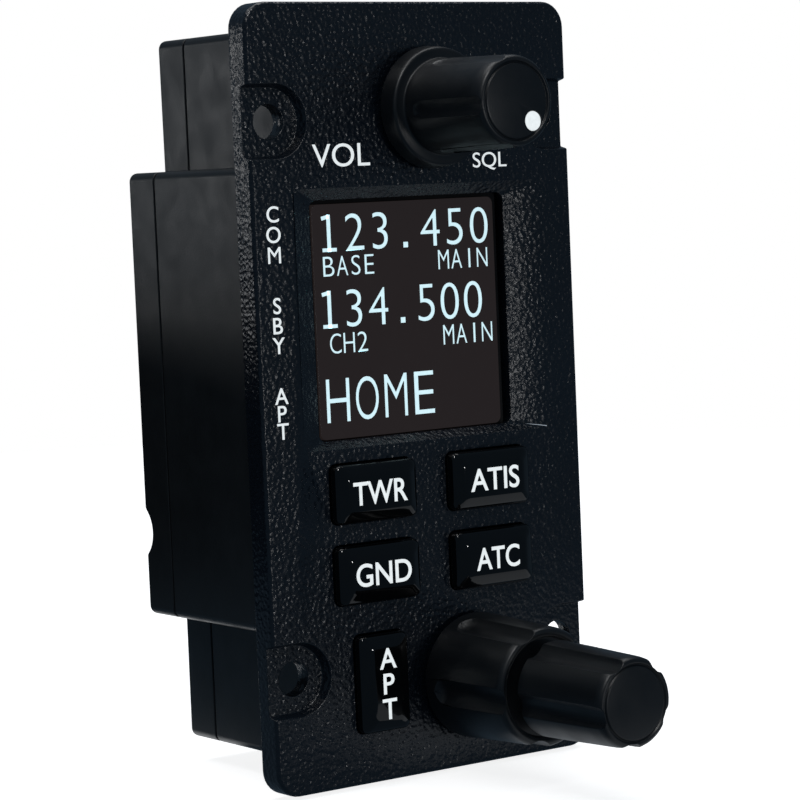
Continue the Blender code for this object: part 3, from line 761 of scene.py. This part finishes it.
class HEAD_OT_case(bpy.types.Operator):
    """Builds the stepped case and its rear cover"""
    bl_idname = "head.case"
    bl_label = "Case and cover"

    def execute(self, context):
        case = stepped_body("front_case_shell", 0.0, SEAM)
        carve(case, self.hollow(-1.0, SEAM + 1.0, CASE_WALL))
        complete(case, "housing", "case_skin", "front_case")

        start, back = SEAM + SEAM_GAP, span("rear_cover", "y")[1]
        cover = stepped_body("rear_cover_shell", start, back, rim=0.8)
        carve(cover, self.notch(back))
        carve(cover, self.hollow(start - 1.0, back - CASE_WALL, COVER_WALL))
        lip = stepped_body("lip", start - 1.3, start + 0.3, LIP_INSET, INNER_CORNER)
        carve(lip, self.hollow(start - 2.0, start + 1.0, COVER_WALL))
        fuse(cover, lip)
        carve(cover, shell_outline("socket", back - 3, back + 1, 0.3))
        for side in (-1, 1):
            bore(cover, side * POST_X, 0, back - 3, back + 1, 1.65)
        for number in range(1, 5):
            x, z = middle(f"case_screw_{number}")
            bore(cover, x, z, back - 3, back + 1, 1.35)
        complete(cover, "housing", "case_skin", "rear_cover")
        return {"FINISHED"}

    def hollow(self, y0, y1, wall):
        """The room inside the case, between two depths and a wall's thickness in."""
        return stepped_body("hollow", y0, y1, wall, INNER_CORNER)

    def notch(self, back):
        """A bar along X that cuts the round notch in the left rear edge."""
        deselect()
        bpy.ops.mesh.primitive_cylinder_add(
            vertices=64, radius=3.4 * MM, depth=5.0 * MM,
            location=(-20.5 * MM, (back + 1.5) * MM, -16.6 * MM), rotation=(0, pi / 2, 0),
        )
        return named("notch")


# ---------- display

LETTER_SKIN = 0.03
LETTER_LIFT = 0.005
SCREEN_WEIGHT = -0.012
PLATE_WEIGHT = 0.006
KEY_WEIGHT = 0.012


def letters(name, words, x, z, y, weight=0.0):
    """Lettering that stands out from the plane at y, fitted to places across x and z."""
    deselect()
    bpy.ops.object.text_add(rotation=(pi / 2, 0, 0))
    text = bpy.context.active_object
    text.data.body = words
    text.data.offset = weight
    text.data.extrude = 0.05
    text.data.resolution_u = 6
    only(text)
    bpy.ops.object.convert(target="MESH")
    return fit(named(name), x, z, y)


def fit(obj, x, z, y):
    """Scales and moves a mesh to fill a box; x may be a centre, to keep its proportions."""
    places = [vertex.co for vertex in obj.data.vertices]
    low = Vector([min(place[i] for place in places) for i in range(3)])
    size = Vector([max(place[i] for place in places) for i in range(3)]) - low
    scale_z = (z[1] - z[0]) * MM / size.z
    if isinstance(x, (int, float)):
        x = around(x, size.x * scale_z / 2 / MM)
    scale = Vector(((x[1] - x[0]) * MM / size.x, LETTER_SKIN * MM / size.y, scale_z))
    obj.scale = scale
    obj.location = Vector((x[0], y - LETTER_SKIN, z[0])) * MM - low * scale
    only(obj)
    return named(obj.name)


def figure_one(x, z, y):
    """A figure one with a flag and a foot, for fixed-width lettering."""
    tall = z[1] - z[0]
    stroke = tall * 0.115
    skin = (y - LETTER_SKIN, y)
    stem = block("sign", around(x, stroke / 2), skin, z)
    foot = block("foot", (x - tall * 0.22, x + tall * 0.24), skin, (z[0], z[0] + stroke * 0.85))
    flag = block("flag", (-tall * 0.24, 0), skin, (-stroke * 0.9, 0))
    only(flag)
    flag.rotation_euler = (0, radians(-12), 0)
    flag.location = (x * MM, 0, z[1] * MM)
    named("flag")
    return fuse_flat(stem, foot, flag)


def fuse_flat(first, *others):
    """Joins flat signs into one object."""
    deselect()
    for obj in (first, *others):
        obj.select_set(True)
    bpy.context.view_layer.objects.active = first
    bpy.ops.object.join()
    return first


def cell_letters(name, words, first_x, pitch, z, y, widest):
    """Fixed-width lettering: each sign is centred in a cell of its own."""
    signs = []
    for place, sign in enumerate(words):
        centre = first_x + place * pitch
        if sign == ".":
            size = (z[1] - z[0]) * 0.15
            skin = (y - LETTER_SKIN, y)
            signs.append(block("sign", around(centre, size / 2), skin, (z[0], z[0] + size)))
            continue
        if sign == "1":
            signs.append(figure_one(centre, z, y))
            continue
        obj = letters("sign", sign, centre, z, y, SCREEN_WEIGHT)
        if obj.dimensions.x / MM > widest:
            fit(obj, around(centre, widest / 2), z, y)
        signs.append(obj)
    fuse_flat(*signs)
    return named(name)


class HEAD_OT_display(bpy.types.Operator):
    """Builds the display window and the lettering it shows"""
    bl_idname = "head.display"
    bl_label = "Display"

    def execute(self, context):
        s = context.scene.head_screen
        front, back = span("display_window", "y")
        glass = rounded_block("display_glass", GLASS[0], (front, back), GLASS[1], 0.8)
        complete(glass, "housing", "screen_face", "display_window", soften=0.06)
        edge = rounded_block("glass_edge", GLASS_RIM[0], (back - 0.8, back), GLASS_RIM[1], 0.7)
        carve(edge, block("glass_room", GLASS[0], (front, back + 1), GLASS[1]))
        complete(edge, "housing", "glass_rim", soften=0.06)
        rows = (
            ("active_frequency", s.active, -11.7, 3.6, (16.7, 20.95), 2.75),
            ("active_place", "BASE", -11.9, 1.9, (13.9, 16.15), 1.55),
            ("active_kind", "MAIN", 4.5, 1.9, (13.9, 16.15), 1.55),
            ("standby_frequency", s.standby, -12.05, 3.44, (7.95, 12.25), 2.7),
            ("standby_place", "CH2", -11.4, 1.9, (5.0, 7.3), 1.55),
            ("standby_kind", "MAIN", 4.8, 1.9, (5.0, 7.3), 1.55),
            ("place_name", s.place, -11.4, 4.1, (-2.9, 2.1), 3.2),
        )
        for name, words, first_x, pitch, z, widest in rows:
            row = cell_letters(name, words, first_x, pitch, z, front - LETTER_LIFT, widest)
            complete(row, "housing", "screen_letters", soften=0)
        return {"FINISHED"}


class HEAD_OT_legends(bpy.types.Operator):
    """Prints the legends on the faceplate"""
    bl_idname = "head.legends"
    bl_label = "Legends"

    def execute(self, context):
        level = FACE_Y - LETTER_LIFT
        words = (
            ("volume", "VOL", (-14.45, -6.5), (26.35, 29.0)),
            ("squelch", "SQL", (8.3, 13.3), (25.3, 27.4)),
        )
        for word, signs, x, z in words:
            legend = letters(f"{word}_legend", signs, x, z, level)
            complete(legend, "housing", "plate_print", soften=0)
        columns = (
            ("radio", "COM", -20.2, (21.3, 19.0, 16.7)),
            ("standby", "SBY", -20.15, (11.0, 8.75, 6.5)),
            ("airport", "APT", -20.1, (0.8, -1.2, -3.2)),
        )
        for word, signs, x, heights in columns:
            for number, (sign, z) in enumerate(zip(signs, heights), 1):
                # The inner corners of an M cross when its strokes are made heavier.
                weight = 0.0 if sign == "M" else PLATE_WEIGHT
                legend = letters(
                    f"{word}_legend_{number}", sign, x, around(z, 0.92), level, weight
                )
                complete(legend, "housing", "plate_print", soften=0)
        return {"FINISHED"}


# ---------- keys

FLANGE = 0.6
KEY_LEGEND_WIDTHS = {"TWR": 7.6, "ATIS": 7.2, "GND": 7.8, "ATC": 6.4}
# Shares of the hip's width and of the crown's rise: a round shoulder, a straight slope and a
# soft brow.
DOME = (
    (0.02, 0.09), (0.06, 0.24), (0.11, 0.36), (0.18, 0.47), (0.28, 0.57), (0.42, 0.69),
    (0.56, 0.80), (0.67, 0.885), (0.75, 0.935), (0.83, 0.97), (0.92, 0.992), (1.0, 1.0),
)


def key_cap(name, x, z, w, h, s):
    """A key: an upright wall whose dome curves in to a small flat top."""
    wall, crown, hip = s.wall / MM, s.crown / MM, s.hip / MM
    wide, tall = around(x, w / 2), around(z, h / 2)
    cap = rounded_block(name, wide, (FACE_Y - wall, 0.3), tall, s.corner / MM, 5)
    level, inset = wall, 0.0
    pick(cap, "FACE", lambda face: face.normal.y < -0.9)
    for across, up in DOME:
        height, total = wall + (crown - wall) * up, hip * across
        bpy.ops.mesh.extrude_region_move(
            TRANSFORM_OT_translate={"value": (0, (level - height) * MM, 0)}
        )
        bpy.ops.transform.resize(
            value=((w - 2 * total) / (w - 2 * inset), 1, (h - 2 * total) / (h - 2 * inset)),
            center_override=(x * MM, (FACE_Y - height) * MM, z * MM),
        )
        level, inset = height, total
    leave_edit()
    flange = block("flange", grown(wide, FLANGE), (0.0, 0.8), grown(tall, FLANGE))
    return fuse(cap, flange, rod("nub", x, z, 0.5, 1.25, 1.2, None, 32))


class HEAD_OT_keys(bpy.types.Operator):
    """Builds the domed keys and their legends"""
    bl_idname = "head.keys"
    bl_label = "Keys"

    def execute(self, context):
        s = context.scene.head_keys
        top = FACE_Y - s.crown / MM - 0.004
        for key, words in KEYS.items():
            x, z, w, h = key_place(key)
            body = f"{key}_button"
            cap = key_cap(f"{key}_cap", x, z, w, h, s)
            complete(cap, body, "key_resin", f"{key}_key", soften=0, smooth=60)
            if words in KEY_LEGEND_WIDTHS:
                wide, tall = around(x, KEY_LEGEND_WIDTHS[words] / 2), around(z, 1.35)
                legends = [(f"{key}_legend", words, wide, tall)]
            else:
                legends = [
                    (f"{key}_legend_{number + 1}", sign, x, around(z + 2.9 - number * 2.95, 1.2))
                    for number, sign in enumerate(words)
                ]
            for name, signs, wide, tall in legends:
                legend = letters(name, signs, wide, tall, top, KEY_WEIGHT)
                complete(legend, body, "key_print", soften=0)
        return {"FINISHED"}


# ---------- knobs

FLUTES = 5


def flutes(knob, x, z, first_angle, base, tip, depth, radius, rear_round=True):
    """Cuts the grooves along a tapered knob. base and tip are (y, radius) of its skin."""
    for number in range(FLUTES):
        angle = first_angle + 360 / FLUTES * number
        flute(knob, x, z, angle, base, tip, depth, radius, rear_round)


def flute(knob, x, z, angle, base, tip, depth, radius, rear_round):
    """Cuts one groove with a round bar that leans as the knob's skin does."""
    (y0, r0), (y1, r1) = base, tip
    tilt = (r0 - r1) / (y0 - y1)
    profile = [(y1 - 3.0, radius), (y0 - radius, radius)]
    for share in (0.38, 0.71, 0.92) if rear_round else ():
        profile.append((y0 - radius + radius * share, radius * (1 - share * share) ** 0.5))
    tool = turned("flute", 0, 0, [(profile[0][0], 0), *profile, (profile[-1][0], 0)], 32)
    lean = Matrix.Rotation(-tilt, 4, "Z") @ Matrix.Translation((0, -y0 * MM, 0))
    reach = Matrix.Translation(((r0 + radius - depth) * MM, y0 * MM, 0))
    turn = Matrix.Rotation(-radians(angle), 4, "Y")
    tool.matrix_world = Matrix.Translation((x * MM, 0, z * MM)) @ turn @ reach @ lean
    only(tool)
    carve(knob, named("flute"))


class HEAD_OT_volume_knob(bpy.types.Operator):
    """Builds the skirted volume knob, its pointer dot and its shaft"""
    bl_idname = "head.volume_knob"
    bl_label = "Volume knob"

    def execute(self, context):
        x, z = middle("volume_shaft")
        tip, base = span("volume_knob", "y")
        skirt = FACE_Y - 3.4
        body = "volume_control_knob"
        knob = turned("volume_knob_skin", x, z, [
            (tip + 1.6, 0), (tip + 1.6, 2.05), (-7.0, 2.05), (-7.0, 3.6), (-6.1, 3.6),
            (-6.1, 5.15), (base, 5.15), (base, 6.85), (base - 0.08, 7.0), (base - 0.3, 7.1),
            (skirt + 0.55, 6.92), (skirt + 0.2, 6.84), (skirt + 0.05, 6.68), (skirt, 6.45),
            (skirt - 0.05, 5.75), (skirt - 0.15, 5.58), (skirt - 0.4, 5.5), (tip + 2.0, 5.24),
            (tip + 0.6, 5.17), (tip + 0.25, 5.06), (tip + 0.07, 4.88), (tip, 4.68),
            (tip + 0.02, 4.52), (tip + 0.2, 4.42), (tip + 0.26, 4.36), (tip + 0.2, 4.28),
            (tip + 0.06, 4.2), (tip + 0.02, 4.05), (tip + 0.02, 0),
        ], 128)
        flutes(knob, x, z, 112, (skirt - 0.3, 5.5), (tip, 5.2), 0.32, 2.6)
        reach, dot_angle = 3.2, radians(-45.7)
        dot_x, dot_z = x + reach * cos(dot_angle), z + reach * sin(dot_angle)
        bore(knob, dot_x, dot_z, tip - 1, tip + 0.7, 1.13, 48)
        complete(knob, body, "knob_skin", "volume_knob", soften=0.05, smooth=40)
        dot = rod("pointer_dot", dot_x, dot_z, tip + 0.03, tip + 0.6, 1.1, None, 48)
        complete(dot, body, "dot_paint", "volume_dot", soften=0.08)
        low, high = span("volume_shaft", "y")
        shaft = turned("volume_shaft_bar", x, z, [
            (low, 0), (low, 1.7), (low + 0.3, 2.0), (high, 2.0), (high, 0),
        ], 48)
        complete(shaft, body, "plated_steel", "volume_shaft", soften=0)
        return {"FINISHED"}


class HEAD_OT_tuning_knobs(bpy.types.Operator):
    """Builds the outer and inner tuning knobs and their shafts"""
    bl_idname = "head.tuning_knobs"
    bl_label = "Tuning knobs"

    def execute(self, context):
        x, z = middle("tuning_inner_shaft")
        tip, base = span("tuning_outer_knob", "y")
        outer = turned("tuning_outer_skin", x, z, [
            (tip + 0.75, 3.05), (-6.3, 3.05), (-6.3, 4.2), (-5.7, 4.2), (-5.7, 6.1), (base, 6.1),
            (base, 7.0), (base - 0.1, 7.25), (base - 0.35, 7.43), (base - 5.0, 7.27),
            (tip + 1.0, 6.95), (tip + 0.5, 6.88), (tip + 0.2, 6.7), (tip + 0.05, 6.4),
            (tip + 0.1, 6.1), (tip + 0.3, 5.86), (tip + 0.75, 5.72),
        ], 128)
        flutes(outer, x, z, 115, (base - 1.2, 7.42), (tip, 6.93), 0.75, 2.4)
        complete(outer, "tuning_outer", "knob_skin", "tuning_outer_knob", soften=0.07, smooth=40)

        tip, base = span("tuning_inner_knob", "y")
        # Softening its rim pushes the front out a little, so it starts a hair further back.
        tip += 0.03
        inner = turned("tuning_inner_skin", x, z, [
            (tip + 2.0, 0), (tip + 2.0, 1.55), (base, 1.55), (base, 5.15), (base - 0.1, 5.4),
            (base - 0.35, 5.58), (base - 5.0, 5.47), (tip + 1.2, 5.2), (tip + 0.5, 5.12),
            (tip + 0.2, 4.98), (tip + 0.04, 4.78), (tip, 4.6), (tip + 0.02, 4.48),
            (tip + 0.22, 4.38), (tip + 0.28, 4.3), (tip + 0.2, 4.22), (tip + 0.06, 4.14),
            (tip + 0.03, 4.0), (tip + 0.03, 0),
        ], 128)
        flutes(inner, x, z, 120, (base + 2.0, 5.6), (tip, 5.18), 0.7, 1.9, False)
        complete(inner, "tuning_inner", "knob_skin", "tuning_inner_knob", soften=0.07, smooth=40)

        low, high = span("tuning_outer_shaft", "y")
        sleeve = turned("tuning_sleeve", x, z, [
            (low, 1.56), (low, 2.8), (low + 0.2, 3.0), (high, 3.0), (high, 1.56),
        ], 64)
        complete(sleeve, "tuning_outer", "plated_steel", "tuning_outer_shaft", soften=0)
        low, high = span("tuning_inner_shaft", "y")
        bar = turned("tuning_bar", x, z, [
            (low, 0), (low, 1.3), (low + 0.2, 1.5), (high, 1.5), (high, 0),
        ], 48)
        complete(bar, "tuning_inner", "plated_steel", "tuning_inner_shaft", soften=0)
        return {"FINISHED"}


# ---------- rear fittings

def shell_outline(name, y0, y1, grow):
    """A trapezoid bar with round corners, wider at its top, along Y.

    grow widens it all round, so that one outline serves the collar, its hollow and its socket.
    """
    half, drop, rise = 8.45 + grow, 1.4, 4.15 + grow
    tool = block(name, (-half, half), (y0, y1), (-rise, rise))
    pick(tool, "FACE", lambda face: face.normal.z < -0.9)
    bpy.ops.transform.resize(value=((half - drop) / half, 1, 1), center_override=(0, 0, 0))
    leave_edit()
    return round_edges(tool, along_y_loose, max(2.2 + grow, 0.4), 6)


def along_y_loose(edge):
    """True for an edge along Y, and for one that leans less than a hair across X."""
    a, b = (vertex.co for vertex in edge.verts)
    return abs(a.y - b.y) > 0.5 * MM and abs(a.x - b.x) < 1e-5


class HEAD_OT_rear_fittings(bpy.types.Operator):
    """Builds the rear connector, its jack posts and the case screws"""
    bl_idname = "head.rear_fittings"
    bl_label = "Rear fittings"

    def execute(self, context):
        back = span("rear_cover", "y")[1]
        low, high = span("connector_shell", "y")
        shell = rounded_block(
            "connector_flange", (-15.4, 15.4), (low, low + 1.0), (-6.25, 6.25), 1.0
        )
        fuse(shell, shell_outline("collar", low + 0.5, high, 0.0))
        carve(shell, shell_outline("collar_hollow", low - 3, high + 2, -0.5))
        for side in (-1, 1):
            bore(shell, side * POST_X, 0, low - 2, low + 3, 1.6)
        complete(shell, "housing", "plated_steel", "connector_shell", soften=0.08)

        low, high = span("connector_core", "y")
        core = shell_outline("connector_insulator", low, high, -0.62)
        pitch, half_row_gap = 2.77, 1.42
        for z, count in ((half_row_gap, 5), (-half_row_gap, 4)):
            for number in range(count):
                x = (number - (count - 1) / 2) * pitch
                bore(core, x, z, high - 4.0, high + 1, 0.55, 24)
        complete(core, "housing", "grey_moulding", "connector_core", soften=0.08)

        low, high = span("jack_post_left", "y")
        for x, name in ((-POST_X, "left"), (POST_X, "right")):
            post = rod(f"jack_post_{name}_body", x, 0, low, back + 1.0, 1.5, None, 40)
            fuse(post, rod("hex", x, 0, back + 0.3, high, 2.7, None, 6))
            bore(post, x, 0, back + 1.0, high + 1, 1.1)
            complete(post, "housing", "plated_steel", f"jack_post_{name}", smooth=35)
        self.screws()
        return {"FINISHED"}

    def screws(self):
        """One long pan-head screw, copied to the other corners."""
        first_x, first_z = middle("case_screw_1")
        low, high = span("case_screw_1", "y")
        head = high - 1.5
        screw = turned("case_screw_body_1", first_x, first_z, [
            (low, 0), (low, 1.0), (low + 0.3, 1.2), (head, 1.2), (head, 1.9),
            (head + 0.1, 2.06), (head + 0.6, 2.1), (head + 1.05, 1.95), (head + 1.35, 1.55),
            (high, 0.9), (high, 0),
        ], 64)
        for w, h in ((2.4, 0.5), (0.5, 2.4)):
            wide, tall = around(first_x, w / 2), around(first_z, h / 2)
            carve(screw, block("drive", wide, (high - 0.8, high + 1), tall))
        for number in range(2, 5):
            x, z = middle(f"case_screw_{number}")
            twin = copy_of(screw, f"case_screw_body_{number}", x - first_x, 0.0, z - first_z)
            complete(
                twin, "housing", "dark_steel", f"case_screw_{number}", soften=0.05, smooth=40
            )
        complete(screw, "housing", "dark_steel", "case_screw_1", soften=0.05, smooth=40)


# ---------- inner pieces

class HEAD_OT_inner_pieces(bpy.types.Operator):
    """Gives the pieces inside the case and under the knobs their finishes"""
    bl_idname = "head.inner_pieces"
    bl_label = "Inner pieces"

    def execute(self, context):
        by_slot = {slot: name for name, (slot, *rest) in reversed(FINISHES.items())}
        for entry in frame["record"]["subparts"]:
            obj = frame["nodes"][entry["node"]]
            if not obj.hide_render:
                material = finish_material(by_slot[entry["material_slot"]])
                for place in obj.material_slots:
                    place.material = material
        return {"FINISHED"}


# ---------- stage

def soft_light(name, place, target, size, power):
    """A rectangular soft light aimed at a point; lengths in metres."""
    data = bpy.data.lights.new(name, "AREA")
    data.shape = "RECTANGLE"
    data.size, data.size_y = size
    data.energy = power
    obj = bpy.data.objects.new(name, data)
    bpy.context.scene.collection.objects.link(obj)
    obj.location = place
    obj.rotation_euler = (Vector(target) - Vector(place)).to_track_quat("-Z", "Y").to_euler()
    return obj


class HEAD_OT_stage(bpy.types.Operator):
    """Sets up the camera, the soft studio lights and the pale floor"""
    bl_idname = "head.stage"
    bl_label = "Stage"

    def execute(self, context):
        s = context.scene.head_stage
        data = bpy.data.cameras.new("camera")
        data.lens = s.lens
        data.sensor_width = 36.0
        data.clip_start = 0.01
        camera = bpy.data.objects.new("camera", data)
        context.scene.collection.objects.link(camera)
        camera.location = (-0.2020, -0.2805, 0.0245)
        sight = Vector((-0.0037, -0.0035, -0.0009)) - camera.location
        camera.rotation_mode = "QUATERNION"
        camera.rotation_quaternion = sight.to_track_quat("-Z", "Y") @ Quaternion((0, 0, 1), s.roll)
        context.scene.camera = camera

        floor_z = CAD_BOX[0].z - 0.0004
        deselect()
        bpy.ops.mesh.primitive_circle_add(
            vertices=128, radius=0.30, fill_type="NGON", location=(0.06, 0.16, floor_z)
        )
        floor = named("floor")
        floor.visible_glossy = floor.visible_diffuse = False
        recipe = Recipe("floor_paper", Roughness=0.8, Emission_Strength=1.0)
        tone = recipe.blend(recipe.grain(60.0, 2.0), shade(s.floor, 0.99), shade(s.floor, 1.0))
        recipe.set(Base_Color=tone, Emission_Color=tone)
        floor.data.materials.append(recipe.material)

        for name, place, target, size, power in (
            ("overhead", (0.02, 0.10, 0.60), (0.02, 0.10, 0), (0.7, 0.5), 2.2),
            ("left_rear", (-0.225, 0.29, 0.045), (-0.02, 0.01, 0.03), (0.06, 0.05), 0.048),
            ("front_left", (-0.30, -0.45, 0.45), (0, 0, 0), (0.06, 0.06), 0.20),
            ("front", (0.076, -0.4985, -0.013), (0.01, 0, 0.01), (0.035, 0.035), 0.17),
        ):
            soft_light(name, place, target, size, power)
        low = floor_z + 0.0002
        for name, place, target, size, power in (
            ("rear_sheen", (0.001, 0.055, low), (0.001, 0.055, 1.0), (0.04, 0.07), 0.010),
            ("front_sheen", (0.03, -0.03, low), (0.03, -0.03, 1.0), (0.06, 0.04), 0.0025),
            ("edges", (-0.24, -0.34, 0.50), (0, 0, 0), (0.08, 0.08), 0.9),
        ):
            soft_light(name, place, target, size, power).visible_diffuse = False
        self.flag()
        self.world(context)
        context.scene.view_settings.view_transform = "Standard"
        return {"FINISHED"}

    def flag(self):
        """A black card beside the case, out of sight, that shades its lower half."""
        deselect()
        bpy.ops.mesh.primitive_plane_add(
            size=1, location=(-0.0506, 0.0523, -0.0094), rotation=(pi / 2, 0, radians(36))
        )
        bpy.context.active_object.scale = (0.12, 0.0414, 1.0)
        flag = named("flag")
        recipe = Recipe("black_card", Roughness=1.0, Base_Color=(0.0, 0.0, 0.0, 1.0))
        flag.data.materials.append(recipe.material)
        flag.visible_camera = False

    def world(self, context):
        """Pale behind the object, dim all round it, so that black surfaces stay black."""
        world = bpy.data.worlds.new("studio")
        context.scene.world = world
        world.use_nodes = True
        tree = world.node_tree
        back = tree.nodes["Background"]
        back.inputs["Color"].default_value = (1.0, 1.0, 1.0, 1.0)
        room = tree.nodes.new("ShaderNodeBackground")
        room.inputs["Color"].default_value = (0.55, 0.84, 1.15, 1.0)
        room.inputs["Strength"].default_value = 0.10
        path = tree.nodes.new("ShaderNodeLightPath")
        mix = tree.nodes.new("ShaderNodeMixShader")
        tree.links.new(path.outputs["Is Camera Ray"], mix.inputs[0])
        tree.links.new(room.outputs[0], mix.inputs[1])
        tree.links.new(back.outputs[0], mix.inputs[2])
        tree.links.new(mix.outputs[0], tree.nodes["World Output"].inputs["Surface"])


# ---------- panel and registration

class HEAD_PT_panel(bpy.types.Panel):
    """Lists the steps and the sizes and colours they use"""
    bl_label = "Control Head"
    bl_idname = "HEAD_PT_panel"
    bl_space_type = "VIEW_3D"
    bl_region_type = "UI"
    bl_category = "Control Head"

    def draw(self, context):
        for group in SETTINGS:
            box = self.layout.box()
            for prop in getattr(context.scene, group).bl_rna.properties.keys()[2:]:
                box.prop(getattr(context.scene, group), prop)
        for step in STEPS:
            self.layout.operator(step.bl_idname)


SETTINGS = {
    "head_plate": HeadPlateSettings,
    "head_keys": HeadKeySettings,
    "head_screen": HeadScreenSettings,
    "head_colours": HeadColourSettings,
    "head_stage": HeadStageSettings,
}
STEPS = (
    HEAD_OT_faceplate,
    HEAD_OT_case,
    HEAD_OT_display,
    HEAD_OT_legends,
    HEAD_OT_keys,
    HEAD_OT_volume_knob,
    HEAD_OT_tuning_knobs,
    HEAD_OT_rear_fittings,
    HEAD_OT_inner_pieces,
    HEAD_OT_stage,
)


def register():
    for item in (*SETTINGS.values(), *STEPS, HEAD_PT_panel):
        bpy.utils.register_class(item)
    for name, group in SETTINGS.items():
        setattr(bpy.types.Scene, name, bpy.props.PointerProperty(type=group))


def unregister():
    for name in SETTINGS:
        delattr(bpy.types.Scene, name)
    for item in reversed((*SETTINGS.values(), *STEPS, HEAD_PT_panel)):
        bpy.utils.unregister_class(item)


def main():
    register()
    bpy.ops.head.faceplate()
    bpy.ops.head.case()
    bpy.ops.head.display()
    bpy.ops.head.legends()
    bpy.ops.head.keys()
    bpy.ops.head.volume_knob()
    bpy.ops.head.tuning_knobs()
    bpy.ops.head.rear_fittings()
    bpy.ops.head.inner_pieces()
    bpy.ops.head.stage()


if __name__ == "__main__":
    main()
